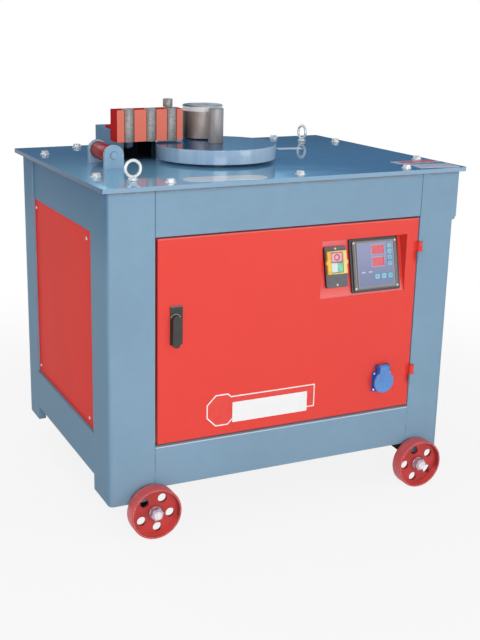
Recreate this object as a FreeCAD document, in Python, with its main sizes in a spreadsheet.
import FreeCAD, Part
import math
import os
import re

from FreeCAD import Placement, Rotation, Vector
import Sketcher

os.makedirs("parts", exist_ok=True)
doc = FreeCAD.newDocument("stirrup_bender")

# Driving dimensions, in millimetres and degrees.
# The frame stands on the floor at z 0, under the middle of the table.
# X runs to the right along the door, Y runs to the back, Z is up.
DIMENSIONS = {
    # table and cabinet
    "table_length": 930,
    "table_depth": 716,
    "table_thickness": 10,
    "table_height": 815,
    "cabinet_left": 449,
    "cabinet_right": 454,
    "cabinet_half_depth": 337,
    "foot_level": 76,
    "sheet": 4,
    "bend_radius": 12,
    "left_post_width": 112,
    "right_post_width": 100,
    "post_depth": 110,
    "rear_post_depth": 88,
    "post_lip": 20,
    "rail_flange": 40,
    "front_rail_low": 107,
    "front_rail_high": 207,
    "front_rail_top": 106,
    "side_rail_low": 115,
    "side_rail_high": 218,
    "side_rail_top": 108,
    "side_inset": 5,
    "band_thickness": 5,
    "band_height": 121,
    "band_taper": 10,
    # side and rear covers
    "cover_sheet": 2,
    "cover_recess": 7,
    "cover_gap": 1,
    "cover_screw_inset": 16,
    # bending disc and its tools
    "disc_centre_x": -50,
    "disc_centre_y": -26,
    "disc_radius": 150,
    "disc_thickness": 35,
    "disc_clearance": 6.5,
    "mandrel_radius": 18.7,
    "mandrel_shank_radius": 14,
    "tool_top": 942,
    "roller_radius": 51.5,
    "roller_offset_x": 13,
    "roller_offset_y": 110,
    "roller_pin_radius": 16,
    "running_gap": 0.05,
    # stop block with its pins
    "block_left": -293,
    "block_right": -119,
    "block_front": 22,
    "block_back": 70,
    "block_low": 861,
    "block_high": 939,
    "stop_pin_radius": 15,
    "stop_pin_y": 32,
    "base_back": 188,
    "base_high": 889,
    "base_right": -170,
    "base_box_front": 74,
    "base_wall": 12,
    "cheek_thickness": 17,
    # feed roller
    "feed_x": -337,
    "feed_z": 844.5,
    "lug_width": 49,
    "lug_thickness": 10,
    "lug_front": -78,
    "lug_rear": 37,
    "feed_radius": 21.2,
    "feed_pin_radius": 9,
    # wheels
    "wheel_radius": 62,
    "wheel_rim": 4.5,
    "wheel_front": 381,
    "wheel_back": 348,
    "wheel_web_front": 369.5,
    "left_wheel_x": -350,
    "right_wheel_x": 374,
    "rear_left_wheel_x": -322,
    "rear_right_wheel_x": 337,
    "axle_radius": 10,
    "axle_end": 389,
    "wheel_hole_radius": 11,
    "wheel_hole_circle": 37.5,
    # door and its control pocket
    "door_left": -331.2,
    "door_right": 352,
    "door_low": 213,
    "door_high": 695,
    "door_sheet": 2,
    "door_depth": 18,
    "hinge_x": 353,
    "hinge_y": -344.3,
    "knuckle_radius": 6.4,
    "knuckle_height": 24,
    "upper_hinge_split": 613.5,
    "lower_hinge_split": 298,
    "pocket_left": 83,
    "pocket_right": 319.5,
    "pocket_low": 517,
    "pocket_high": 657,
    "pocket_low_depth": 3,
    "pocket_slope": 12.3,
    # lock, controller, switch and socket on the door
    "lock_x": -287,
    "lock_low": 450.5,
    "lock_high": 541,
    "lock_width": 30,
    "lever_low": 445,
    "lever_high": 521,
    "lever_width": 18.6,
    "lever_shift": -2.8,
    "lock_pivot_z": 508,
    "case_width": 137,
    "case_height": 130,
    "case_middle_x": 38,
    "case_middle_v": 70,
    "switch_width": 59,
    "switch_height": 98,
    "switch_middle_x": -71,
    "switch_middle_v": 73,
    "socket_x": 267.5,
    "socket_z": 290,
    "socket_width": 52,
    "socket_height": 52,
    "socket_lid_radius": 27.8,
    # drive under the table
    "worm_wheel_radius": 85,
    "worm_radius": 25,
    "worm_z": 700,
    "worm_y": 85,
    "large_pulley_radius": 84,
    "small_pulley_radius": 35,
    "motor_z": 327,
    "motor_radius": 98,
    "pulley_x": 105,
    "main_shaft_radius": 30,
}

sheet = doc.addObject("Spreadsheet::Sheet", "Dims")
for row, (alias, value) in enumerate(DIMENSIONS.items(), start=1):
    sheet.set(f"A{row}", alias.replace("_", " "))
    sheet.set(f"B{row}", str(value))
    sheet.setAlias(f"B{row}", alias)
doc.recompute()

WORD = re.compile(r"[a-z][a-z_]+")
NODES = []


def bound(formula):
    """Write a formula in the sheet's words as an expression on the sheet."""
    return WORD.sub(lambda m: "Dims." + m.group() if m.group() in DIMENSIONS else m.group(), str(formula))


def mm(formula):
    """Work a formula in the sheet's words out as a number."""
    return float(sheet_value(bound(formula)))


def sheet_value(expression):
    """Ask the sheet for the value of one expression."""
    value = sheet.evalExpression(expression)
    return getattr(value, "Value", value)


def put(piece, x, y, z, rotation=None):
    """Place a piece with its base point bound to the sheet."""
    piece.Placement = Placement(Vector(0, 0, 0), rotation or Rotation())
    for letter, formula in zip("xyz", (x, y, z)):
        piece.setExpression(f".Placement.Base.{letter}", bound(formula))
    return piece


def block(name, x, y, z):
    """A rectangular block between pairs of planes."""
    piece = doc.addObject("Part::Box", name)
    for size, (low, high) in zip(("Length", "Width", "Height"), (x, y, z)):
        piece.setExpression(size, bound(f"({high}) - ({low})"))
    return put(piece, x[0], y[0], z[0])


ALONG = {
    "x": Rotation(Vector(0, 1, 0), 90),
    "y": Rotation(Vector(1, 0, 0), -90),
    "z": Rotation(),
}


def rod(name, axis, base, radius, length):
    """A round bar that starts at base and runs along an axis."""
    piece = doc.addObject("Part::Cylinder", name)
    piece.setExpression("Radius", bound(radius))
    piece.setExpression("Height", bound(length))
    return put(piece, *base, ALONG[axis])


def hexagon(name, axis, base, across_flats, length):
    """A hexagonal bar, such as a nut or a bolt's head."""
    piece = doc.addObject("Part::Prism", name)
    piece.Polygon = 6
    piece.setExpression("Circumradius", bound(f"({across_flats}) / 2 / cos(30)"))
    piece.setExpression("Height", bound(length))
    return put(piece, *base, ALONG[axis])


def join(name, *pieces):
    """Several touching pieces made one, as by a weld or a casting."""
    piece = doc.addObject("Part::MultiFuse", name)
    piece.Shapes = list(pieces)
    piece.Refine = True
    return piece


def cut(name, base, *tools):
    """A piece with one or more others taken out of it."""
    piece = doc.addObject("Part::Cut", name)
    piece.Base = base
    piece.Tool = tools[0] if len(tools) == 1 else join(name + "_tools", *tools)
    piece.Refine = True
    return piece


def group(name, *pieces):
    """Several separate solids kept together."""
    piece = doc.addObject("Part::Compound", name)
    piece.Links = list(pieces)
    return piece


def round_edges(name, base, radius, wanted):
    """Round those edges of a piece that a test picks."""
    doc.recompute()
    piece = doc.addObject("Part::Fillet", name)
    piece.Base = base
    piece.Edges = [(n, radius, radius) for n, edge in enumerate(base.Shape.Edges, start=1) if wanted(edge)]
    return piece


def node(label, piece):
    """Name a finished piece after the part of the machine that it is."""
    piece.Label = label
    NODES.append(piece)
    return piece


def standing(edge):
    """Tell whether an edge runs straight up."""
    if not isinstance(edge.Curve, Part.Line):
        return False
    return abs(abs(edge.Curve.Direction.z) - 1) < 1e-6


# Bodies made of sketches and features

PLANE_NORMAL = {"XY_Plane": 1, "XZ_Plane": -1, "YZ_Plane": 1}


def new_body(name):
    return doc.addObject("PartDesign::Body", name)


def new_sketch(body, role, level="0"):
    """A sketch on an origin plane of its body, moved to a level along that plane's own axis."""
    sketch = body.newObject("Sketcher::SketchObject", body.Name + "_sketch")
    plane = next(feature for feature in body.Origin.OriginFeatures if feature.Role == role)
    sketch.AttachmentSupport = [(plane, "")]
    sketch.MapMode = "FlatFace"
    sketch.setExpression(".AttachmentOffset.Base.z", bound(f"{PLANE_NORMAL[role]} * ({level})"))
    return sketch


def pin_point(sketch, edge, end, x, y):
    """Tie a point of a sketch to the origin by two bound distances."""
    for kind, formula in (("DistanceX", x), ("DistanceY", y)):
        index = sketch.addConstraint(Sketcher.Constraint(kind, -1, 1, edge, end, mm(formula)))
        sketch.setExpression(f"Constraints[{index}]", bound(formula))


def draw_polygon(sketch, corners):
    """A closed outline of straight lines through corners given as formulas."""
    points = [Vector(mm(x), mm(y), 0) for x, y in corners]
    first = sketch.GeometryCount
    count = len(points)
    for n in range(count):
        sketch.addGeometry(Part.LineSegment(points[n], points[(n + 1) % count]), False)
    for n in range(count):
        following = first + (n + 1) % count
        sketch.addConstraint(Sketcher.Constraint("Coincident", first + n, 2, following, 1))
    for n, (x, y) in enumerate(corners):
        pin_point(sketch, first + n, 1, x, y)


def draw_rectangle(sketch, x, y):
    draw_polygon(sketch, [(x[0], y[0]), (x[1], y[0]), (x[1], y[1]), (x[0], y[1])])


def draw_circle(sketch, x, y, radius):
    circle = Part.Circle(Vector(mm(x), mm(y), 0), Vector(0, 0, 1), mm(radius))
    index = sketch.addGeometry(circle, False)
    pin_point(sketch, index, 3, x, y)
    size = sketch.addConstraint(Sketcher.Constraint("Radius", index, mm(radius)))
    sketch.setExpression(f"Constraints[{size}]", bound(radius))


def pad(body, sketch, length, backwards=False):
    feature = body.newObject("PartDesign::Pad", body.Name + "_pad")
    feature.Profile = sketch
    feature.setExpression("Length", bound(length))
    feature.Reversed = backwards
    sketch.Visibility = False
    return feature


def pocket(body, sketch, depth, backwards=False):
    """A pocket that must take material away."""
    doc.recompute()
    before = body.Shape.Volume
    feature = body.newObject("PartDesign::Pocket", body.Name + "_pocket")
    feature.Profile = sketch
    feature.setExpression("Length", bound(depth))
    feature.Reversed = backwards
    doc.recompute()
    if body.Shape.Volume >= before - 1e-6:
        raise RuntimeError(f"{body.Name}: the pocket takes nothing away")
    return feature


def revolve(body, outline):
    """Turn an outline of (radius, height) corners about the body's upright axis."""
    sketch = new_sketch(body, "XZ_Plane")
    draw_polygon(sketch, outline)
    feature = body.newObject("PartDesign::Revolution", body.Name + "_revolution")
    feature.Profile = sketch
    feature.ReferenceAxis = (sketch, ["V_Axis"])
    feature.Angle = 360
    return feature


def bend_edges(body, radius, wanted):
    """Round the edges of a body where its sheet is bent."""
    doc.recompute()
    tip = body.Tip
    names = [f"Edge{n}" for n, edge in enumerate(tip.Shape.Edges, start=1) if wanted(edge)]
    feature = body.newObject("PartDesign::Fillet", body.Name + "_bend")
    feature.Base = (tip, names)
    feature.setExpression("Radius", bound(radius))
    return feature


def near(edge, x, y):
    """Tell whether an upright edge stands at a place seen from above."""
    point = edge.Vertexes[0].Point
    return standing(edge) and abs(point.x - x) < 0.05 and abs(point.y - y) < 0.05


TABLE_LOW = "(table_height - table_thickness)"


# Table plate: thick steel plate with a hole for the gearbox neck and for ten bolts

BOLT_PLACES = [
    ("-table_length / 2 + 169", "-table_depth / 2 + 34"),
    ("-table_length / 2 + 489", "-table_depth / 2 + 34"),
    ("-table_length / 2 + 779", "-table_depth / 2 + 34"),
    ("-table_length / 2 + 44", "-table_depth / 2 + 166"),
    ("-table_length / 2 + 44", "-table_depth / 2 + 572"),
    ("table_length / 2 - 37", "-table_depth / 2 + 154"),
    ("table_length / 2 - 37", "-table_depth / 2 + 545"),
    ("-table_length / 2 + 165", "table_depth / 2 - 34"),
    ("-table_length / 2 + 465", "table_depth / 2 - 34"),
    ("-table_length / 2 + 767", "table_depth / 2 - 34"),
]
BOLT_RADIUS = 5
NECK_RADIUS = 49
EYE_BOLTS = [(-363, -271, 0), (343, 231, 95)]
EYE_SHANK_RADIUS = 5


def table_plate():
    body = new_body("table")
    sketch = new_sketch(body, "XY_Plane", TABLE_LOW)
    draw_rectangle(sketch, ("-table_length / 2", "table_length / 2"), ("-table_depth / 2", "table_depth / 2"))
    pad(body, sketch, "table_thickness")
    holes = new_sketch(body, "XY_Plane", "table_height")
    draw_circle(holes, "disc_centre_x", "disc_centre_y", NECK_RADIUS + 0.5)
    for x, y in BOLT_PLACES:
        draw_circle(holes, x, y, BOLT_RADIUS + 0.3)
    for x, y, turn in EYE_BOLTS:
        draw_circle(holes, x, y, EYE_SHANK_RADIUS + 0.3)
    pocket(body, holes, "table_thickness + 1")
    bend_edges(body, 6, standing_at_table_corner)
    node("table_plate", body)


def standing_at_table_corner(edge):
    corners = [(sx * mm("table_length / 2"), sy * mm("table_depth / 2")) for sx in (-1, 1) for sy in (-1, 1)]
    return any(near(edge, x, y) for x, y in corners)


# Corner posts: sheet bent to an angle, with a stiffening lip along each free edge

CABINET_SIDE = {-1: "cabinet_left", 1: "cabinet_right"}


def corner_post(label, side, face, width, depth):
    """side is -1 on the left and 1 on the right, face is -1 in front and 1 at the back."""
    body = new_body(label + "_body")
    sketch = new_sketch(body, "XY_Plane", "foot_level")

    def corner(inward, back):
        return f"{side} * ({CABINET_SIDE[side]} - ({inward}))", f"{face} * (cabinet_half_depth - ({back}))"

    outline = [
        corner(0, 0), corner(width, 0), corner(width, "post_lip"), corner(f"{width} - sheet", "post_lip"),
        corner(f"{width} - sheet", "sheet"), corner("sheet", "sheet"), corner("sheet", f"{depth} - sheet"),
        corner("post_lip", f"{depth} - sheet"), corner("post_lip", depth), corner(0, depth),
    ]
    draw_polygon(sketch, outline)
    pad(body, sketch, f"{TABLE_LOW} - foot_level")
    corner_x = side * mm(CABINET_SIDE[side])
    corner_y = face * mm("cabinet_half_depth")
    bend_edges(body, "bend_radius", lambda edge: near(edge, corner_x, corner_y))
    inner_x = side * mm(f"{CABINET_SIDE[side]} - sheet")
    inner_y = face * mm("cabinet_half_depth - sheet")
    bend_edges(body, "bend_radius - sheet", lambda edge: near(edge, inner_x, inner_y))
    node(label, body)


# Rails: channels of bent sheet between the posts, welded under the table and along the bottom

def channel(name, outline, role, start, length):
    """A channel of bent sheet: its outline lies across the rail and is padded along it."""
    body = new_body(name)
    sketch = new_sketch(body, role, start)
    draw_polygon(sketch, outline)
    pad(body, sketch, length, backwards=(role == "XZ_Plane"))
    return body


def channel_outline(outside, inward, low, high):
    """Corners of a channel whose web stands at outside and whose flanges point inward."""
    flange = f"({outside}) + {inward} * rail_flange"
    web = f"({outside}) + {inward} * sheet"
    return [
        (outside, low), (flange, low), (flange, f"({low}) + sheet"), (web, f"({low}) + sheet"),
        (web, f"({high}) - sheet"), (flange, f"({high}) - sheet"), (flange, high), (outside, high),
    ]


def side_rail(name, side, inset, low, high):
    start = "-cabinet_half_depth + post_depth"
    length = "2 * cabinet_half_depth - post_depth - rear_post_depth"
    outside = f"{side} * ({CABINET_SIDE[side]} - {inset})"
    return channel(name, channel_outline(outside, -side, low, high), "XZ_Plane", start, length)


def face_rail(name, face, low, high):
    start = "-cabinet_left + left_post_width"
    length = "cabinet_left + cabinet_right - left_post_width - right_post_width"
    outline = channel_outline(f"{face} * cabinet_half_depth", -face, low, high)
    return channel(name, outline, "YZ_Plane", start, length)


def cover_tab(name, side, y, low, high):
    """A small upright tab on a side rail's flange, behind a cover's screw."""
    inside = f"{side} * ({CABINET_SIDE[side]} - cover_recess - cover_sheet - 1.8)"
    outside = f"{side} * ({CABINET_SIDE[side]} - cover_recess - cover_sheet)"
    x = (outside, inside) if side < 0 else (inside, outside)
    return block(name, x, (y - 16, y + 16), (low, high))


COVER_SCREW_Y = (-183, 232)


def drilled_for_bolts(name, rail, places):
    """A rail with holes for the table bolts that pass through its upper flange."""
    drills = [
        rod(f"{name}_drill_{n}", "z", (x, y, f"{TABLE_LOW} - 20"), BOLT_RADIUS + 0.3, 25)
        for n, (x, y) in enumerate(places)
    ]
    return cut(name, rail, *drills)


def upper_rails():
    low = f"{TABLE_LOW} - front_rail_top"
    side_low = f"{TABLE_LOW} - side_rail_top"
    front = face_rail("upper_front_channel", -1, low, TABLE_LOW)
    rear = face_rail("upper_rear_channel", 1, low, TABLE_LOW)
    pieces = [
        drilled_for_bolts("upper_front_rail", front, BOLT_PLACES[:3]),
        drilled_for_bolts("upper_rear_rail", rear, BOLT_PLACES[7:]),
    ]
    side_bolts = {-1: BOLT_PLACES[3:5], 1: BOLT_PLACES[5:7]}
    for name, side in (("left", -1), ("right", 1)):
        rail = side_rail(f"upper_{name}_rail", side, "side_inset", side_low, TABLE_LOW)
        tabs = [
            cover_tab(f"upper_{name}_tab_{n}", side, y, f"{side_low} - 36", f"{side_low} + 1")
            for n, y in enumerate(COVER_SCREW_Y)
        ]
        tabbed = join(f"upper_{name}_rail_with_tabs", rail, *tabs)
        pieces.append(drilled_for_bolts(f"upper_{name}_rail_drilled", tabbed, side_bolts[side]))
    node("upper_rails", group("upper_rail_group", *pieces, side_band()))


def side_band():
    """A folded stiffener lapped over the right posts under the table's edge, closed at its front end."""
    outer = "cabinet_right + band_thickness"
    low = f"{TABLE_LOW} - band_height"
    inner = f"{outer} - sheet"
    outline = [
        ("cabinet_right", low), (outer, f"{low} + band_taper"), (outer, TABLE_LOW),
        (inner, TABLE_LOW), (inner, f"{low} + band_taper + 1.1"), ("cabinet_right", f"{low} + 9"),
    ]
    fold = channel("right_band", outline, "XZ_Plane", "-cabinet_half_depth", "2 * cabinet_half_depth - 4")
    corner_x = "cabinet_right - bend_radius"
    end_outline = [
        (corner_x, low), ("cabinet_right", low), (outer, f"{low} + band_taper"), (outer, TABLE_LOW),
        (corner_x, TABLE_LOW),
    ]
    end = channel("right_band_end", end_outline, "XZ_Plane", "-cabinet_half_depth", "bend_radius")
    corner = rod(
        "right_band_corner", "z", (corner_x, "-cabinet_half_depth + bend_radius", f"{low} - 1"),
        "bend_radius + 0.3", "band_height + 2")
    return join("right_band_closed", fold, cut("right_band_end_fitted", end, corner))


def lower_rails():
    pieces = [
        face_rail("lower_front_rail", -1, "front_rail_low", "front_rail_high"),
        face_rail("lower_rear_rail", 1, "front_rail_low", "front_rail_high"),
    ]
    for name, side in (("left", -1), ("right", 1)):
        rail = side_rail(f"lower_{name}_rail", side, 0, "side_rail_low", "side_rail_high")
        tabs = [
            cover_tab(f"lower_{name}_tab_{n}", side, y, "side_rail_high - 1", "side_rail_high + 36")
            for n, y in enumerate(COVER_SCREW_Y)
        ]
        pieces.append(join(f"lower_{name}_rail_with_tabs", rail, *tabs))
    node("lower_rails", group("lower_rail_group", *pieces))


# Covers: red sheet panels in the side and rear openings, each held by four screws

COVER_SCREW_HEAD = 4


def side_cover(label, side):
    outside = f"{side} * ({CABINET_SIDE[side]} - cover_recess)"
    inside = f"{side} * ({CABINET_SIDE[side]} - cover_recess - cover_sheet)"
    x = (outside, inside) if side < 0 else (inside, outside)
    y = ("-cabinet_half_depth + post_depth + cover_gap", "cabinet_half_depth - rear_post_depth - cover_gap")
    z = ("side_rail_high + 1", f"{TABLE_LOW} - side_rail_top - 1")
    node(label, block(label + "_sheet", x, y, z))


def rear_cover():
    """The rear cover laps over the posts and rails from outside."""
    lap = 12
    x = (f"-cabinet_left + left_post_width - {lap}", f"cabinet_right - right_post_width + {lap}")
    y = ("cabinet_half_depth", "cabinet_half_depth + cover_sheet")
    z = (f"front_rail_high - {lap}", f"{TABLE_LOW} - front_rail_top + {lap}")
    sheet_metal = block("rear_cover_sheet", x, y, z)
    slots = []
    for column in range(3):
        for row in range(8):
            middle = -190 + column * 190
            level = 300 + row * 24
            width = (middle - 55, middle + 55)
            slots.append(block(f"rear_slot_{column}_{row}", width, (334, 342), (level, level + 8)))
    node("rear_cover", cut("rear_cover_louvres", sheet_metal, *slots))


def round_head(name, axis, x, y, z, radius, height, outward):
    """A low round screw head; outward is 1 or -1 along its axis."""
    inset = f"(1 - {outward}) / 2 * {height}"
    base = {"x": (f"{x} - {inset}", y, z), "y": (x, f"{y} - {inset}", z)}
    return rod(name, axis, base[axis], radius, height)


def cover_screws():
    heads = []
    low = "side_rail_high + 1 + cover_screw_inset + 5"
    high = f"{TABLE_LOW} - side_rail_top - 1 - cover_screw_inset - 5"
    for side in (-1, 1):
        face = f"{side} * ({CABINET_SIDE[side]} - cover_recess)"
        for y in COVER_SCREW_Y:
            for level, z in (("low", low), ("high", high)):
                name = f"cover_screw_{'l' if side < 0 else 'r'}_{y}_{level}".replace("-", "m")
                heads.append(round_head(name, "x", face, y, z, COVER_SCREW_HEAD, 2.4, side))
    for x in (-342, 359):
        for z in (201, 453, 705):
            name = f"rear_screw_{x}_{z}".replace("-", "m")
            face = "cabinet_half_depth + cover_sheet"
            heads.append(round_head(name, "y", x, face, z, COVER_SCREW_HEAD, 2.4, 1))
    node("cover_screws", group("cover_screw_group", *heads))


# Fasteners on the table: ten hexagon bolts with washers, and two lifting eyes

def table_bolts():
    bolts = []
    for n, (x, y) in enumerate(BOLT_PLACES):
        shank = rod(f"bolt_shank_{n}", "z", (x, y, "table_height - 30"), BOLT_RADIUS, 31)
        washer = rod(f"bolt_washer_{n}", "z", (x, y, "table_height"), 12.5, 2)
        head = hexagon(f"bolt_head_{n}", "z", (x, y, "table_height + 2"), 17, 6.8)
        nut = hexagon(f"bolt_nut_{n}", "z", (x, y, f"{TABLE_LOW} - sheet - 8"), 17, 8)
        bolts.append(join(f"bolt_{n}", shank, washer, head, nut))
    node("table_bolts", group("table_bolt_group", *bolts))


def eye_bolts():
    """Forged lifting eyes: a ring on a collar, with a threaded shank through the table."""
    ring_radius = 17.75
    wire_radius = 3.75
    eyes = []
    for n, (x, y, turn) in enumerate(EYE_BOLTS):
        ring = doc.addObject("Part::Torus", f"eye_ring_{n}")
        ring.Radius1 = ring_radius
        ring.Radius2 = wire_radius
        upright = Rotation(Vector(0, 0, 1), turn).multiply(Rotation(Vector(1, 0, 0), 90))
        put(ring, x, y, "table_height + 26.5", upright)
        collar = rod(f"eye_collar_{n}", "z", (x, y, "table_height"), 11, 5)
        neck = doc.addObject("Part::Cone", f"eye_neck_{n}")
        neck.Radius1 = 9
        neck.Radius2 = 4.5
        neck.Height = 5
        put(neck, x, y, "table_height + 5")
        shank = rod(f"eye_shank_{n}", "z", (x, y, "table_height - 24"), EYE_SHANK_RADIUS, 25)
        nut = hexagon(f"eye_nut_{n}", "z", (x, y, f"{TABLE_LOW} - 9"), 17, 9)
        eyes.append(join(f"eye_bolt_{n}", ring, collar, neck, shank, nut))
    node("eye_bolts", group("eye_bolt_group", *eyes))


# Stop: a welded base on the table carries the red block, its three pins and its stud

STOP_PIN_X = ("block_left + 32", "block_left + 90", "block_left + 145")
STUD = ("block_left + 147", "block_front + 33")
STUD_SHANK_RADIUS = 6
STUD_HEAD_RADIUS = 12.2


def stop_base():
    """A box open in front and below, with a cheek that comes forward beside the pins."""
    left = "block_left"
    box = block(
        "stop_box", (left, "base_right"), ("base_box_front", "base_back"), ("table_height", "base_high"))
    cheek = block(
        "stop_cheek", (left, f"{left} + cheek_thickness"), ("block_front", "base_box_front + 4"),
        ("table_height", "block_low - 0.3"))
    whole = join("stop_base_weldment", box, cheek)
    hollow = block(
        "stop_hollow", (f"{left} + cheek_thickness", "base_right - base_wall"),
        ("base_box_front - 1", "base_back - base_wall"), ("table_height - 1", "base_high - base_wall"))
    opened = cut("stop_base_open", whole, hollow)
    node("stop_base", round_edges("stop_base_rounded", opened, 3, box_back_edge))


def box_back_edge(edge):
    points = [v.Point for v in edge.Vertexes]
    return standing(edge) and all(abs(p.y - mm("base_back")) < 0.05 for p in points)


def stop_block():
    body = new_body("stop_block_body")
    sketch = new_sketch(body, "XY_Plane", "block_low")
    draw_rectangle(sketch, ("block_left", "block_right"), ("block_front", "block_back"))
    pad(body, sketch, "block_high - block_low")
    holes = new_sketch(body, "XY_Plane", "block_high")
    for x in STOP_PIN_X:
        draw_circle(holes, x, "stop_pin_y", "stop_pin_radius")
    pocket(body, holes, "block_high - block_low")
    stud_hole = new_sketch(body, "XY_Plane", "block_high")
    draw_circle(stud_hole, *STUD, STUD_SHANK_RADIUS)
    pocket(body, stud_hole, 40)
    foot = block(
        "stop_foot", ("block_left + 4", "base_right - 4"), ("block_back - 2", "block_back + 52"),
        ("base_high + 0.3", "base_high + 6"))
    node("stop_block", join("stop_block_with_foot", body, foot))


def stop_pins():
    pins = []
    for n, x in enumerate(STOP_PIN_X):
        base = (x, "stop_pin_y", "block_low")
        pins.append(rod(f"stop_pin_{n}", "z", base, "stop_pin_radius", "block_high - block_low + 2"))
    thread = rod("stop_pin_thread", "z", (STOP_PIN_X[0], "stop_pin_y", "block_low - 15"), 8, 15)
    nut = hexagon("stop_pin_nut", "z", (STOP_PIN_X[0], "stop_pin_y", "block_low - 12"), 24, 12)
    pins[0] = join("stop_pin_with_nut", pins[0], thread, nut)
    node("stop_pins", group("stop_pin_group", *pins))


def stop_stud():
    """A round-headed stud that drops into the block behind the third pin."""
    head = rod("stud_head", "z", (*STUD, "block_high + 2.5"), STUD_HEAD_RADIUS, 19.5)
    shank = rod("stud_shank", "z", (*STUD, "block_high - 39"), STUD_SHANK_RADIUS, 43)
    node("stop_stud", join("stud_whole", head, shank))


# Feed roller: a red roller on a pin between two round-topped lugs welded to the table

def feed_lugs():
    lugs = []
    for n, front in enumerate(("lug_front", "lug_rear")):
        body = new_body(f"feed_lug_{n}")
        sketch = new_sketch(body, "XZ_Plane", front)
        draw_rectangle(
            sketch, ("feed_x - lug_width / 2", "feed_x + lug_width / 2"), ("table_height", "feed_z"))
        pad(body, sketch, "lug_thickness", backwards=True)
        top = rod(f"feed_lug_top_{n}", "y", ("feed_x", front, "feed_z"), "lug_width / 2", "lug_thickness")
        hole_start = ("feed_x", f"{front} - 1", "feed_z")
        hole = rod(f"feed_lug_hole_{n}", "y", hole_start, "feed_pin_radius", "lug_thickness + 2")
        lugs.append(cut(f"feed_lug_bored_{n}", join(f"feed_lug_whole_{n}", body, top), hole))
    node("feed_lugs", group("feed_lug_group", *lugs))


def feed_pin():
    length = "lug_rear + lug_thickness + 3 - (lug_front - 3)"
    whole = rod("feed_pin_rod", "y", ("feed_x", "lug_front - 3", "feed_z"), "feed_pin_radius", length)
    rounded = round_edges("feed_pin_rounded", whole, 1, lambda edge: isinstance(edge.Curve, Part.Circle))
    node("feed_pin", rounded)


def feed_roller():
    start = "lug_front + lug_thickness + 1"
    length = "lug_rear - lug_front - lug_thickness - 2"
    tube = rod("feed_roller_tube", "y", ("feed_x", start, "feed_z"), "feed_radius", length)
    bore_start = ("feed_x", f"{start} - 1", "feed_z")
    bore = rod("feed_roller_bore", "y", bore_start, "feed_pin_radius + running_gap", f"{length} + 2")
    node("feed_roller", cut("feed_roller_bored", tube, bore))


# Wheels: four cast-iron wheels with five round holes, turning on stub axles

WHEELS = (
    ("front_left_wheel", "left_wheel_x", -1),
    ("front_right_wheel", "right_wheel_x", -1),
    ("rear_left_wheel", "rear_left_wheel_x", 1),
    ("rear_right_wheel", "rear_right_wheel_x", 1),
)
FIRST_HOLE_ANGLE = {"left_wheel_x": 62, "right_wheel_x": 108, "rear_left_wheel_x": 40, "rear_right_wheel_x": 75}
# how far each strap reaches to the left and right of its axle, and the levels of its foot and shoulder
STRAP_REACH = {
    "left_wheel_x": (30, 8.5, 48, 57), "right_wheel_x": (15.5, 28, 54, 64),
    "rear_left_wheel_x": (15, 15, 48, 66), "rear_right_wheel_x": (15, 15, 48, 66),
}
HUB_RADIUS = 17


def wheel(label, x, face):
    """The wheel is turned upright about its own axis, then laid over."""
    body = new_body(label + "_body")
    inner = "wheel_radius - wheel_rim"
    web_back = "wheel_web_front - wheel_back - 8"
    outline = [
        ("axle_radius + running_gap", 0.3), (HUB_RADIUS, 0.3), (HUB_RADIUS, web_back), (inner, web_back),
        (inner, 0), ("wheel_radius", 0), ("wheel_radius", "wheel_front - wheel_back"),
        (inner, "wheel_front - wheel_back"), (f"{inner} - 2", "wheel_web_front - wheel_back"),
        ("axle_radius + running_gap", "wheel_web_front - wheel_back"),
    ]
    revolve(body, outline)
    holes = new_sketch(body, "XY_Plane", "wheel_front - wheel_back")
    angle = FIRST_HOLE_ANGLE[x]
    draw_circle(
        holes, f"wheel_hole_circle * cos({angle})", f"wheel_hole_circle * sin({angle})", "wheel_hole_radius")
    drilled = pocket(body, holes, "wheel_front - wheel_back")
    pattern = body.newObject("PartDesign::PolarPattern", body.Name + "_holes")
    pattern.Originals = [drilled]
    upright = next(feature for feature in body.Origin.OriginFeatures if feature.Role == "Z_Axis")
    pattern.Axis = (upright, [""])
    pattern.Angle = 360
    pattern.Occurrences = 5
    body.Tip = pattern
    bend_edges(body, 2.5, lambda edge: is_rim_edge(edge))
    turn = Rotation(Vector(1, 0, 0), 90)
    if face > 0:
        turn = Rotation(Vector(0, 0, 1), 180).multiply(turn)
    put(body, x, f"{face} * wheel_back", "wheel_radius", turn)
    node(label, body)


def is_rim_edge(edge):
    """Tell whether an edge is one of the tread's two outer circles."""
    return isinstance(edge.Curve, Part.Circle) and abs(edge.Curve.Radius - mm("wheel_radius")) < 0.01


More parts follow.
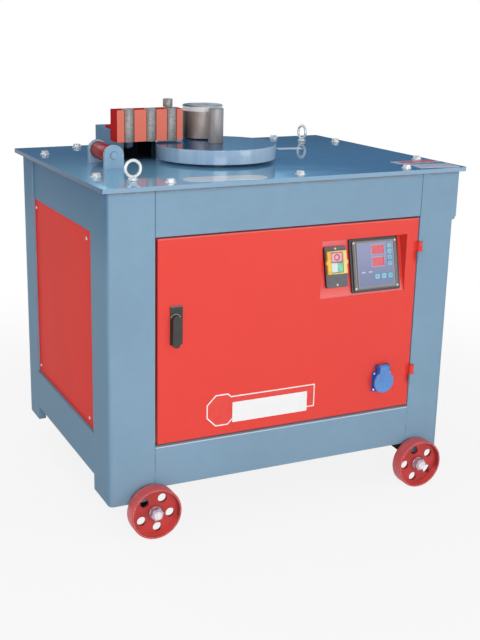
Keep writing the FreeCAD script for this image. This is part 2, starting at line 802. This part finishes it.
def wheel_brackets():
    """Straps with a narrower foot and a stub axle: behind the posts in front, under the rail at the back."""
    brackets = []
    for n, (label, x, face) in enumerate(WHEELS):
        near_y = "cabinet_half_depth - sheet"
        far_y = "cabinet_half_depth - sheet - 10"
        y = (f"-({near_y})", f"-({far_y})") if face < 0 else (far_y, near_y)
        strap_top = 190 if face < 0 else "front_rail_low"
        left, right, low, shoulder_low = STRAP_REACH[x]
        strap = block(f"strap_{n}", (f"{x} - {left}", f"{x} + {right}"), y, (shoulder_low, strap_top))
        foot = block(f"strap_foot_{n}", (f"{x} - 11", f"{x} + 8.5"), y, (low, shoulder_low + 1))
        shoulder_y = "-(wheel_back - 0.3)" if face < 0 else near_y
        shoulder_length = "wheel_back - 0.3 - cabinet_half_depth + sheet"
        shoulder = rod(f"axle_shoulder_{n}", "y", (x, shoulder_y, "wheel_radius"), 12, shoulder_length)
        axle_y = "-axle_end" if face < 0 else near_y
        axle_length = "axle_end - cabinet_half_depth + sheet"
        axle = rod(f"stub_axle_{n}", "y", (x, axle_y, "wheel_radius"), "axle_radius", axle_length)
        brackets.append(join(f"wheel_bracket_{n}", strap, foot, shoulder, axle))
    corner = [
        ("right_wheel_x - 60", "front_rail_low"), ("cabinet_right - right_post_width - 0.05", "front_rail_low"), ("cabinet_right - right_post_width - 0.05", 75),
    ]
    gusset = channel("rail_gusset", corner, "XZ_Plane", "-(cabinet_half_depth - sheet)", 10)
    node("wheel_brackets", group("wheel_bracket_group", gusset, *brackets))


def wheel_nuts():
    nuts = []
    washer = "wheel_web_front + 0.3"
    for n, (label, x, face) in enumerate(WHEELS):
        ring_y = f"-({washer} + 2)" if face < 0 else washer
        nut_y = f"-({washer} + 15)" if face < 0 else f"{washer} + 2"
        ring = rod(f"wheel_washer_{n}", "y", (x, ring_y, "wheel_radius"), 15.5, 2)
        nut = hexagon(f"wheel_nut_hex_{n}", "y", (x, nut_y, "wheel_radius"), 27, 13)
        hole_y = f"-({washer} + 16)" if face < 0 else f"{washer} - 1"
        hole = rod(f"wheel_nut_hole_{n}", "y", (x, hole_y, "wheel_radius"), "axle_radius", 17)
        nuts.append(cut(f"wheel_nut_{n}", join(f"wheel_nut_whole_{n}", ring, nut), hole))
    node("wheel_nuts", group("wheel_nut_group", *nuts))


# Bending tools: the disc, its centre mandrel, and the roller on its pin

DISC_LOW = "(table_height + disc_clearance)"
DISC_HIGH = "(table_height + disc_clearance + disc_thickness)"
ROLLER_X = "disc_centre_x + roller_offset_x"
ROLLER_Y = "disc_centre_y + roller_offset_y"
SHAFT_TOP = f"({DISC_HIGH} - 17)"


def bending_disc():
    body = new_body("disc")
    sketch = new_sketch(body, "XY_Plane", DISC_LOW)
    draw_circle(sketch, "disc_centre_x", "disc_centre_y", "disc_radius")
    pad(body, sketch, "disc_thickness")
    bore = new_sketch(body, "XY_Plane", DISC_LOW)
    draw_circle(bore, "disc_centre_x", "disc_centre_y", "main_shaft_radius")
    pocket(body, bore, "disc_thickness - 17", backwards=True)
    holes = new_sketch(body, "XY_Plane", DISC_HIGH)
    draw_circle(holes, "disc_centre_x", "disc_centre_y", "mandrel_shank_radius")
    draw_circle(holes, ROLLER_X, ROLLER_Y, "roller_pin_radius")
    pocket(body, holes, "disc_thickness")
    bend_edges(body, 1.5, is_disc_rim)
    node("bending_disc", body)


def is_disc_rim(edge):
    """Tell whether an edge is one of the disc's two outer circles."""
    return isinstance(edge.Curve, Part.Circle) and abs(edge.Curve.Radius - mm("disc_radius")) < 0.01


def centre_mandrel():
    """A turned post that stands on the disc, with a shank down to the main shaft."""
    body = new_body("centre_mandrel_body")
    revolve(body, [
        (0, SHAFT_TOP), ("mandrel_shank_radius", SHAFT_TOP), ("mandrel_shank_radius", DISC_HIGH),
        ("mandrel_radius", DISC_HIGH), ("mandrel_radius", "tool_top - 1.5"),
        ("mandrel_radius - 1.5", "tool_top"), (0, "tool_top"),
    ])
    put(body, "disc_centre_x", "disc_centre_y", 0)
    node("centre_mandrel", body)


def roller_pin():
    body = new_body("roller_pin_body")
    revolve(body, [
        (0, DISC_LOW), ("roller_pin_radius", DISC_LOW), ("roller_pin_radius", "tool_top - 2"),
        ("roller_pin_radius - 1", "tool_top - 1"), (0, "tool_top - 1"),
    ])
    put(body, ROLLER_X, ROLLER_Y, 0)
    node("roller_pin", body)


def bending_roller():
    body = new_body("bending_roller_body")
    bore = "roller_pin_radius + running_gap"
    low = f"{DISC_HIGH} + 2.3"
    outline = [
        (bore, low), ("roller_radius - 1.5", low), ("roller_radius", f"{low} + 1.5"),
        ("roller_radius", "tool_top - 1.5"), ("roller_radius - 1.5", "tool_top"), (bore, "tool_top"),
    ]
    revolve(body, outline)
    put(body, ROLLER_X, ROLLER_Y, 0)
    node("bending_roller", body)


# Drive: motor, belts, worm gearbox and the upright main shaft under the table

GEARBOX_X = ("disc_centre_x - 112", "disc_centre_x + 112")
GEARBOX_Y = (-128, 128)
GEARBOX_Z = (610, TABLE_LOW)
BEARING_RADIUS = 45
WORM_BEARING_RADIUS = 26
WORM_SHAFT_RADIUS = 15
PULLEY_HALF_WIDTH = 22


def gearbox_housing():
    """A casting open below, with a neck through the table and a boss for the worm."""
    left, right = GEARBOX_X
    length = f"{right} - ({left})"
    centre = ("disc_centre_x", "disc_centre_y")
    outer = block("gearbox_outer", GEARBOX_X, GEARBOX_Y, GEARBOX_Z)
    rounded = round_edges("gearbox_rounded", outer, 14, standing)
    neck = rod("gearbox_neck", "z", (*centre, f"{TABLE_LOW} - 1"), NECK_RADIUS, "table_thickness + 1")
    boss = rod("worm_boss", "x", (f"{left} - 12", "worm_y", "worm_z"), 36, f"{length} + 24")
    body = join("gearbox_casting", rounded, neck, boss)
    hollow = block(
        "gearbox_hollow", (f"{left} + 12", f"{right} - 12"), (GEARBOX_Y[0] + 12, GEARBOX_Y[1] - 12),
        (GEARBOX_Z[0] - 1, f"{TABLE_LOW} - 14"))
    neck_bore = rod(
        "gearbox_neck_bore", "z", (*centre, f"{TABLE_LOW} - 20"), BEARING_RADIUS, "table_thickness + 21")
    worm_bore = rod(
        "worm_bore", "x", (f"{left} - 13", "worm_y", "worm_z"), WORM_BEARING_RADIUS, f"{length} + 26")
    node("gearbox_housing", cut("gearbox_hollowed", body, hollow, neck_bore, worm_bore))


def gearbox_cover():
    x = (f"{GEARBOX_X[0]} + 3", f"{GEARBOX_X[1]} - 3")
    y = (GEARBOX_Y[0] + 3, GEARBOX_Y[1] - 3)
    floor = GEARBOX_Z[0]
    centre = ("disc_centre_x", "disc_centre_y")
    plate = block("gearbox_cover_plate", x, y, (floor - 12, floor))
    rounded = round_edges("gearbox_cover_rounded", plate, 12, standing)
    boss = rod("gearbox_cover_boss", "z", (*centre, floor - 12), BEARING_RADIUS + 9, 34)
    seat = rod("gearbox_cover_seat", "z", (*centre, floor), BEARING_RADIUS, 30)
    node("gearbox_cover", cut("gearbox_cover_bored", join("gearbox_cover_whole", rounded, boss), seat))


def bearing(name, axis, base, outer, inner, length):
    """One bearing drawn as a plain ring with a running bore."""
    ring = rod(name + "_outer", axis, base, outer, length)
    hole = rod(name + "_bore", axis, base, inner, length)
    return cut(name, ring, hole)


def shaft_bearings():
    x, y = "disc_centre_x", "disc_centre_y"
    inner = "main_shaft_radius + running_gap"
    small = f"{WORM_SHAFT_RADIUS} + running_gap"
    left = (f"{GEARBOX_X[0]} - 10", "worm_y", "worm_z")
    right = (f"{GEARBOX_X[1]} - 8", "worm_y", "worm_z")
    rings = [
        bearing("upper_bearing", "z", (x, y, "table_height - 22"), BEARING_RADIUS, inner, 20),
        bearing("lower_bearing", "z", (x, y, GEARBOX_Z[0] + 1), BEARING_RADIUS, inner, 20),
        bearing("left_worm_bearing", "x", left, WORM_BEARING_RADIUS, small, 18),
        bearing("right_worm_bearing", "x", right, WORM_BEARING_RADIUS, small, 18),
    ]
    node("shaft_bearings", group("shaft_bearing_group", *rings))


def main_shaft():
    body = new_body("main_shaft_body")
    low = GEARBOX_Z[0] + 2
    revolve(body, [(0, low), ("main_shaft_radius", low), ("main_shaft_radius", SHAFT_TOP), (0, SHAFT_TOP)])
    put(body, "disc_centre_x", "disc_centre_y", 0)
    node("main_shaft", body)


def worm_wheel():
    """The worm wheel's rim is hollowed to clear the worm that runs across it."""
    body = new_body("worm_wheel_body")
    half = 20
    outline = [
        ("main_shaft_radius", f"worm_z - {half}"), ("worm_wheel_radius + 3", f"worm_z - {half}"),
        ("worm_wheel_radius", f"worm_z - {half / 2}"), ("worm_wheel_radius", f"worm_z + {half / 2}"),
        ("worm_wheel_radius + 3", f"worm_z + {half}"), ("main_shaft_radius", f"worm_z + {half}"),
    ]
    revolve(body, outline)
    put(body, "disc_centre_x", "disc_centre_y", 0)
    node("worm_wheel", body)


def grooved_pulley(name, axis_base, radius):
    """A pulley for two belts, turned from one blank, with its axis along X."""
    body = new_body(name)
    half = PULLEY_HALF_WIDTH
    inner = 12
    outline = [(inner, -half), (radius, -half)]
    for middle in (-9.5, 9.5):
        for offset, depth in ((-7, 0), (-4.5, 11), (4.5, 11), (7, 0)):
            outline.append((f"({radius}) - {depth}", middle + offset))
    outline += [(radius, half), (inner, half)]
    revolve(body, outline)
    return put(body, *axis_base, ALONG["x"])


def worm_shaft():
    left = f"{GEARBOX_X[0]} - 8"
    length = f"pulley_x + {PULLEY_HALF_WIDTH} + 6 - ({left})"
    shaft = rod("worm_shaft_bar", "x", (left, "worm_y", "worm_z"), WORM_SHAFT_RADIUS, length)
    worm = rod("worm_thread", "x", ("disc_centre_x - 62", "worm_y", "worm_z"), "worm_radius", 124)
    pulley = grooved_pulley("large_pulley", ("pulley_x", "worm_y", "worm_z"), "large_pulley_radius")
    node("worm_shaft", join("worm_shaft_with_pulley", shaft, worm, pulley))


def motor_housing():
    """Ribbed motor frame with feet, end shields, fan cowl and terminal box."""
    left, right = 145, 385
    frame = rod("motor_frame", "x", (left, "worm_y", "motor_z"), "motor_radius - 12", right - left)
    fins = []
    for n in range(14):
        fins.append(rod(f"motor_fin_{n}", "x", (left + 22 + n * 11, "worm_y", "motor_z"), "motor_radius", 4))
    shield = rod("motor_shield", "x", (left, "worm_y", "motor_z"), "motor_radius - 4", 14)
    cowl = rod("motor_cowl", "x", (right - 62, "worm_y", "motor_z"), "motor_radius - 3", 62)
    feet = block("motor_feet", (left + 40, left + 180), ("worm_y - 95", "worm_y + 95"), (227, 240))
    riser = block("motor_riser", (left + 40, left + 180), ("worm_y - 55", "worm_y + 55"), (238, 280))
    box = block(
        "terminal_box", (left + 60, left + 150), ("worm_y - 50", "worm_y + 50"),
        ("motor_z + 80", "motor_z + 138"))
    whole = join("motor_whole", frame, *fins, shield, cowl, feet, riser, box)
    bore = rod("motor_bore", "x", (left - 1, "worm_y", "motor_z"), "14 + running_gap", 80)
    node("motor_housing", cut("motor_bored", whole, bore))


def motor_shaft():
    shaft = rod("motor_shaft_bar", "x", (f"pulley_x - {PULLEY_HALF_WIDTH} - 4", "worm_y", "motor_z"), 14, 138)
    pulley = grooved_pulley("small_pulley", ("pulley_x", "worm_y", "motor_z"), "small_pulley_radius")
    node("motor_shaft", join("motor_shaft_with_pulley", shaft, pulley))


def motor_base():
    """Two channels laid across the lower rails carry the motor."""
    beams = []
    for n, middle in enumerate((205, 305)):
        beam = block(
            f"motor_beam_{n}", (middle - 25, middle + 25), (-315, 315), ("front_rail_high", 227))
        hollow = block(
            f"motor_beam_hollow_{n}", (middle - 21, middle + 21), (-316, 316), ("front_rail_high - 1", 223))
        beams.append(cut(f"motor_beam_channel_{n}", beam, hollow))
    node("motor_base", group("motor_base_group", *beams))


def belt_face(big, small, distance, x):
    """The area inside a belt that runs round a big upper and a small lower wheel."""
    lean = math.asin((big - small) / distance)
    side = Vector(0, math.cos(lean), -math.sin(lean))
    other = Vector(0, -side.y, side.z)
    upper = Vector(x, mm("worm_y"), mm("worm_z"))
    lower = Vector(x, mm("worm_y"), mm("motor_z"))
    top = Part.Arc(upper + side * big, upper + Vector(0, 0, big), upper + other * big)
    bottom = Part.Arc(lower + other * small, lower - Vector(0, 0, small), lower + side * small)
    runs = [
        Part.LineSegment(upper + other * big, lower + other * small),
        Part.LineSegment(lower + side * small, upper + side * big),
    ]
    wire = Part.Wire([top.toShape(), runs[0].toShape(), bottom.toShape(), runs[1].toShape()])
    return Part.Face(wire)


def drive_belts():
    """Two belts that run in the pulleys' grooves, just clear of the groove floors."""
    distance = mm("worm_z - motor_z")
    big = mm("large_pulley_radius")
    small = mm("small_pulley_radius")
    belts = []
    for middle in (-9.5, 9.5):
        x = mm("pulley_x") + middle - 4
        outer = belt_face(big + 1, small + 1, distance, x)
        inner = belt_face(big - 8, small - 8, distance, x)
        belts.append(outer.cut(inner).extrude(Vector(8, 0, 0)))
    piece = doc.addObject("Part::Feature", "drive_belt_pair")
    piece.Shape = Part.makeCompound(belts)
    node("drive_belts", piece)


# Door: folded sheet with a sunken control pocket, hung on two lift-off hinges

DOOR_FRONT = "(-cabinet_half_depth)"
PANEL_TURN = Rotation(Vector(1, 0, 0), 90 - DIMENSIONS["pocket_slope"])
PANEL_ORIGIN = ("(pocket_left + pocket_right) / 2", f"{DOOR_FRONT} + pocket_low_depth", "pocket_low")


def on_panel(piece):
    """Stand a piece drawn flat onto the sloping back of the control pocket."""
    return put(piece, *PANEL_ORIGIN, PANEL_TURN)


def flat_block(name, middle, size, low, high):
    """A block drawn flat: middle and size across the panel, low and high out of it."""
    (x, v), (width, tall) = middle, size
    return block(
        name, (f"({x}) - ({width}) / 2", f"({x}) + ({width}) / 2"),
        (f"({v}) - ({tall}) / 2", f"({v}) + ({tall}) / 2"), (low, high))


def knuckle(name, low, radius="knuckle_radius", height="knuckle_height"):
    return rod(name, "z", ("hinge_x", "hinge_y", low), radius, height)


def pocket_wedge(name, grow, deeper):
    """The sloping pocket as a solid, larger by grow on each side and deeper."""
    body = new_body(name)
    sketch = new_sketch(body, "YZ_Plane", f"pocket_left - {grow}")
    slope = "tan(pocket_slope)"
    back_low = f"{DOOR_FRONT} + pocket_low_depth - {grow} * {slope} + {deeper}"
    back_high = f"{DOOR_FRONT} + pocket_low_depth + (pocket_high - pocket_low + {grow}) * {slope} + {deeper}"
    front = f"{DOOR_FRONT} - 1 + {deeper}"
    outline = [
        (front, f"pocket_low - {grow}"), (back_low, f"pocket_low - {grow}"),
        (back_high, f"pocket_high + {grow}"), (front, f"pocket_high + {grow}"),
    ]
    draw_polygon(sketch, outline)
    pad(body, sketch, f"pocket_right - pocket_left + 2 * {grow}")
    return body


def front_door():
    body = new_body("door_pan")
    front = new_sketch(body, "XZ_Plane", DOOR_FRONT)
    draw_rectangle(front, ("door_left", "door_right"), ("door_low", "door_high"))
    pad(body, front, "door_depth", backwards=True)
    inner = new_sketch(body, "XZ_Plane", f"{DOOR_FRONT} + door_depth")
    draw_rectangle(
        inner, ("door_left + door_sheet", "door_right - door_sheet"),
        ("door_low + door_sheet", "door_high - door_sheet"))
    pocket(body, inner, "door_depth - door_sheet", backwards=True)
    bend_edges(body, 3, is_door_front_edge)
    tray = pocket_wedge("pocket_tray", 2, 2)
    opening = pocket_wedge("pocket_opening", 0, 0)
    leaves = []
    for n, split in enumerate(("upper_hinge_split", "lower_hinge_split")):
        low = f"{split} + 0.3"
        leaf = block(
            f"door_leaf_{n}", ("hinge_x - 10", "hinge_x - 1"), ("hinge_y + 4.5", f"{DOOR_FRONT} + 1"),
            (low, f"{split} + knuckle_height"))
        leaves += [leaf, knuckle(f"door_knuckle_{n}", low, height="knuckle_height - 0.3")]
    welded = join("door_welded", body, tray, *leaves)
    pin_bores = [
        knuckle(f"door_pin_bore_{n}", f"{split} - 1", "4 + running_gap", "knuckle_height - 4")
        for n, split in enumerate(("upper_hinge_split", "lower_hinge_split"))
    ]
    case_hole = flat_block("case_hole", ("case_middle_x", "case_middle_v"), (120, 112), -8, 8)
    switch_hole = flat_block("switch_hole", ("switch_middle_x", "switch_middle_v"), (44, 72), -8, 8)
    panel_holes = on_panel(join("panel_holes", case_hole, switch_hole))
    spindle_hole = rod("spindle_hole", "y", ("lock_x", f"{DOOR_FRONT} - 1", "lock_pivot_z"), 9, 6)
    socket_hole = rod("socket_hole", "y", ("socket_x", f"{DOOR_FRONT} - 1", "socket_z"), 22, 6)
    holes = (panel_holes, spindle_hole, socket_hole)
    node("front_door", cut("door_finished", welded, opening, *pin_bores, *holes))


def is_door_front_edge(edge):
    """Tell whether an edge is one of the four round the door's front face."""
    front = mm(DOOR_FRONT)
    points = [v.Point for v in edge.Vertexes]
    on_outline = all(
        abs(p.x - mm("door_left")) < 0.05 or abs(p.x - mm("door_right")) < 0.05 for p in points)
    return on_outline and all(abs(p.y - front) < 0.05 for p in points)


def door_hinges():
    halves = []
    for n, split in enumerate(("upper_hinge_split", "lower_hinge_split")):
        low = f"{split} - knuckle_height"
        barrel = knuckle(f"post_knuckle_{n}", low)
        leaf = block(f"post_leaf_{n}", ("hinge_x + 2", "hinge_x + 14"), ("hinge_y", DOOR_FRONT), (low, split))
        pin = knuckle(f"hinge_pin_{n}", low, "4", "2 * knuckle_height - 8")
        halves.append(join(f"post_hinge_{n}", barrel, leaf, pin))
    node("door_hinges", group("door_hinge_group", *halves))


# Lock: a plate on the door, a folding lever, and the cam behind the sheet

def lock_plate():
    x = ("lock_x - lock_width / 2", "lock_x + lock_width / 2")
    plate = block("lock_plate_blank", x, (f"{DOOR_FRONT} - 4", DOOR_FRONT), ("lock_low", "lock_high"))
    sleeve = rod("lock_sleeve", "y", ("lock_x", DOOR_FRONT, "lock_pivot_z"), 9, 14)
    hole = rod("lock_plate_hole", "y", ("lock_x", f"{DOOR_FRONT} - 5", "lock_pivot_z"), "6 + running_gap", 20)
    node("lock_plate", cut("lock_plate_bored", join("lock_plate_whole", plate, sleeve), hole))


def lock_cam():
    """The spindle passes through the door, with the cam behind it and a tongue for the lever in front."""
    spindle = rod("lock_spindle", "y", ("lock_x", f"{DOOR_FRONT} - 4", "lock_pivot_z"), 6, 29)
    tongue = block(
        "lock_tongue", ("lock_x - 3", "lock_x + 3"), (LEVER_PIVOT_Y, f"{DOOR_FRONT} - 3"),
        ("lock_pivot_z - 4", "lock_pivot_z + 4"))
    tongue_end = rod("lock_tongue_end", "x", ("lock_x - 3", LEVER_PIVOT_Y, "lock_pivot_z"), 4, 6)
    cam = block(
        "lock_cam_blade", ("lock_x - 9", "lock_x + 9"), (f"{DOOR_FRONT} + 21.5", f"{DOOR_FRONT} + 24.5"),
        ("lock_pivot_z - 66", "lock_pivot_z + 9"))
    node("lock_cam", join("lock_cam_whole", spindle, tongue, tongue_end, cam))


LEVER_PIVOT_Y = f"({DOOR_FRONT} - 9)"
LEVER_SWING = 30


def lock_handle():
    """A long lever with round ends and a forked top that folds over the plate."""
    middle = "lock_x + lever_shift"
    half = "lever_width / 2"
    front = f"{DOOR_FRONT} - 13.5"
    shank = block(
        "lock_lever_shank", (f"{middle} - {half}", f"{middle} + {half}"), (front, f"{DOOR_FRONT} - 4.5"),
        (f"lever_low + {half}", f"lever_high - {half}"))
    ends = [
        rod(f"lock_lever_end_{n}", "y", (middle, front, level), half, 9)
        for n, level in enumerate((f"lever_low + {half}", f"lever_high - {half}"))
    ]
    body = join("lock_lever", shank, *ends)
    fork = block(
        "lock_fork_gap", ("lock_x - 3.3", "lock_x + 3.3"), (f"{DOOR_FRONT} - 14", f"{DOOR_FRONT} - 4"),
        ("lock_pivot_z - 6", "lock_pivot_z + 12"))
    relief = doc.addObject("Part::Box", "lock_swing_relief")
    relief.Length = 30
    relief.Width = 10
    relief.Height = 40
    tilt = Rotation(Vector(1, 0, 0), LEVER_SWING)
    put(relief, "lock_x - 15", f"{LEVER_PIVOT_Y} + 4.7 * cos({LEVER_SWING}) + 20 * sin({LEVER_SWING})",
        f"lock_pivot_z + 4.7 * sin({LEVER_SWING}) - 20 * cos({LEVER_SWING})", tilt)
    node("lock_handle", cut("lock_handle_forked", body, fork, relief))


# Controller: a black case let into the pocket, its face panel and seven keys

CASE = ("case_middle_x", "case_middle_v")
KEY_LOW = 7.4
KEY_HIGH = 10.4
KEY_TRAVEL = 0.8
KEYS = [
    ("key_column_1", 79, 113, 12, 11), ("key_column_2", 79, 98.7, 12, 11),
    ("key_column_3", 79, 84.3, 12, 11), ("key_column_4", 79, 70, 12, 11),
    ("key_row_1", 40.5, 40.5, 13, 12), ("key_row_2", 59.5, 40.5, 13, 12), ("key_row_3", 78.5, 40.5, 13, 12),
]


def controller_case():
    blank = flat_block("case_rim_blank", CASE, ("case_width", "case_height"), 0, 6)
    rim = round_edges("case_rim", blank, 4, standing)
    back = flat_block("case_back", CASE, (118, 110), -46, 1)
    recess = flat_block("case_recess", CASE, ("case_width - 12", "case_height - 12"), 1.5, 7)
    node("controller_case", on_panel(cut("controller_case_hollow", join("case_whole", rim, back), recess)))


def controller_panel():
    plate = flat_block("panel_plate", CASE, ("case_width - 12.4", "case_height - 12.4"), 1.5, 9)
    windows = [
        flat_block(f"display_window_{n}", (46.5, v), (34, 24), 7.5, 10) for n, v in enumerate((105, 75.5))
    ]
    wells = [
        flat_block(f"{name}_well", (x, v), (wide + 0.6, tall + 0.6), KEY_LOW - KEY_TRAVEL - 0.4, 10)
        for name, x, v, wide, tall in KEYS
    ]
    node("controller_panel", on_panel(cut("controller_panel_cut", plate, *windows, *wells)))


def controller_keys():
    for name, x, v, wide, tall in KEYS:
        cap = flat_block(f"{name}_cap", (x, v), (wide, tall), KEY_LOW, KEY_HIGH)
        node(name, on_panel(round_edges(f"{name}_rounded", cap, 2.5, standing)))


# Switch: a box with a start and a stop button inside a yellow guard frame

SWITCH = ("switch_middle_x", "switch_middle_v")
BUTTON_WIDTH = 31
BUTTON_HEIGHT = 23
STOP_V = "switch_middle_v + 22.5"
START_V = "switch_middle_v - 1.5"
FRAME_MIDDLE = ("switch_middle_x", "switch_middle_v + 10.5")


def switch_box():
    blank = flat_block("switch_face_blank", SWITCH, ("switch_width", "switch_height"), 0, 8)
    face = round_edges("switch_face", blank, 5, standing)
    body = flat_block("switch_body", SWITCH, (42, 70), -50, 1)
    wells = [
        flat_block(f"button_well_{n}", ("switch_middle_x", v), (BUTTON_WIDTH + 1, BUTTON_HEIGHT + 1), 2, 9)
        for n, v in enumerate((STOP_V, START_V))
    ]
    node("switch_box", on_panel(cut("switch_box_cut", join("switch_box_whole", face, body), *wells)))


def switch_frame():
    """The guard frame, with a round grip on each side."""
    outer = flat_block("guard_outer", FRAME_MIDDLE, (53, 55), 8, 15)
    grips = [
        rod(f"guard_grip_{n}", "z", (f"switch_middle_x + {x}", "switch_middle_v + 10.5", 8), 7, 7)
        for n, x in enumerate((-23, 23))
    ]
    whole = join("guard_whole", outer, *grips)
    opening = flat_block("guard_opening", FRAME_MIDDLE, (BUTTON_WIDTH + 2, 2 * BUTTON_HEIGHT + 3), 7, 16)
    node("switch_frame", on_panel(cut("guard_frame", whole, opening)))


def push_button(label, middle):
    cap = flat_block(f"{label}_cap", ("switch_middle_x", middle), (BUTTON_WIDTH, BUTTON_HEIGHT), 6.5, 14)
    node(label, on_panel(round_edges(f"{label}_rounded", cap, 2, standing)))


# Socket: a flanged inlet body with a round spring lid hung from a hinge above it

SOCKET_FRONT = f"({DOOR_FRONT} - 4)"
LID_BACK = f"({DOOR_FRONT} - 12.4)"
LID_HINGE_Y = f"({DOOR_FRONT} - 8.5)"
LID_HINGE_Z = "(socket_z + 39)"


def socket_body():
    flange = block(
        "socket_flange", ("socket_x - socket_width / 2", "socket_x + socket_width / 2"),
        (SOCKET_FRONT, DOOR_FRONT), ("socket_z - socket_height / 2", "socket_z + socket_height / 2"))
    barrel = rod("socket_barrel", "y", ("socket_x", f"{DOOR_FRONT} - 12", "socket_z"), 24, 9)
    rear = rod("socket_rear", "y", ("socket_x", DOOR_FRONT, "socket_z"), 21.5, 32)
    ears = []
    for n, offset in enumerate((-17.5, 13.5)):
        ear = block(
            f"socket_ear_{n}", (f"socket_x + {offset}", f"socket_x + {offset} + 4"),
            (f"{DOOR_FRONT} - 12.2", DOOR_FRONT), ("socket_z + socket_height / 2 - 8", f"{LID_HINGE_Z} + 4"))
        ears.append(ear)
    whole = join("socket_whole", flange, barrel, rear, *ears)
    well = rod("socket_well", "y", ("socket_x", f"{DOOR_FRONT} - 13", "socket_z"), 20, 30)
    pin_hole = rod("socket_pin_hole", "x", ("socket_x - 18.5", LID_HINGE_Y, LID_HINGE_Z), "2 + running_gap", 37)
    node("socket_body", cut("socket_bored", whole, well, pin_hole))


def socket_lid():
    dish = rod("lid_dish", "y", ("socket_x", f"{LID_BACK} - 5", "socket_z"), "socket_lid_radius", 5)
    rounded = round_edges("lid_rounded", dish, 2, is_lid_front)
    arm = block(
        "lid_arm", ("socket_x - 13", "socket_x + 13"), (f"{LID_BACK} - 4", LID_BACK),
        ("socket_z + 20", f"{LID_HINGE_Z} + 1"))
    barrel = rod("lid_barrel", "x", ("socket_x - 13", LID_HINGE_Y, LID_HINGE_Z), 4.5, 26)
    pin = rod("lid_pin", "x", ("socket_x - 17.5", LID_HINGE_Y, LID_HINGE_Z), 2, 35)
    node("socket_lid", join("lid_whole", rounded, arm, barrel, pin))


def is_lid_front(edge):
    """Tell whether an edge is the circle round the lid's front face."""
    return isinstance(edge.Curve, Part.Circle) and abs(edge.Curve.Center.y - mm(f"{LID_BACK} - 5")) < 0.05


# Build everything, from the cabinet to the controls

table_plate()
corner_post("front_left_post", -1, -1, "left_post_width", "post_depth")
corner_post("front_right_post", 1, -1, "right_post_width", "post_depth")
corner_post("rear_left_post", -1, 1, "left_post_width", "rear_post_depth")
corner_post("rear_right_post", 1, 1, "right_post_width", "rear_post_depth")
upper_rails()
lower_rails()
side_cover("left_cover", -1)
side_cover("right_cover", 1)
rear_cover()
cover_screws()
table_bolts()
eye_bolts()
stop_base()
stop_block()
stop_pins()
stop_stud()
feed_lugs()
feed_pin()
feed_roller()
wheel_brackets()
wheel_nuts()
for wheel_label, wheel_x, wheel_face in WHEELS:
    wheel(wheel_label, wheel_x, wheel_face)
gearbox_housing()
gearbox_cover()
shaft_bearings()
worm_wheel()
main_shaft()
worm_shaft()
drive_belts()
motor_housing()
motor_shaft()
motor_base()
bending_disc()
centre_mandrel()
roller_pin()
bending_roller()
front_door()
door_hinges()
lock_plate()
lock_handle()
lock_cam()
controller_case()
controller_panel()
controller_keys()
switch_box()
switch_frame()
push_button("stop_button", STOP_V)
push_button("start_button", START_V)
socket_body()
socket_lid()
doc.recompute()

for piece in doc.Objects:
    if "Invalid" in piece.State or "Error" in piece.State:
        raise RuntimeError(f"{piece.Label} could not be built: {piece.State}")
for piece in NODES:
    if piece.Shape.isNull() or not piece.Shape.isValid() or piece.Shape.Volume <= 0:
        raise RuntimeError(f"{piece.Label} has no valid solid")
    piece.Shape.exportStep(f"parts/{piece.Label}.step")
print(len(NODES), "sub-parts written")
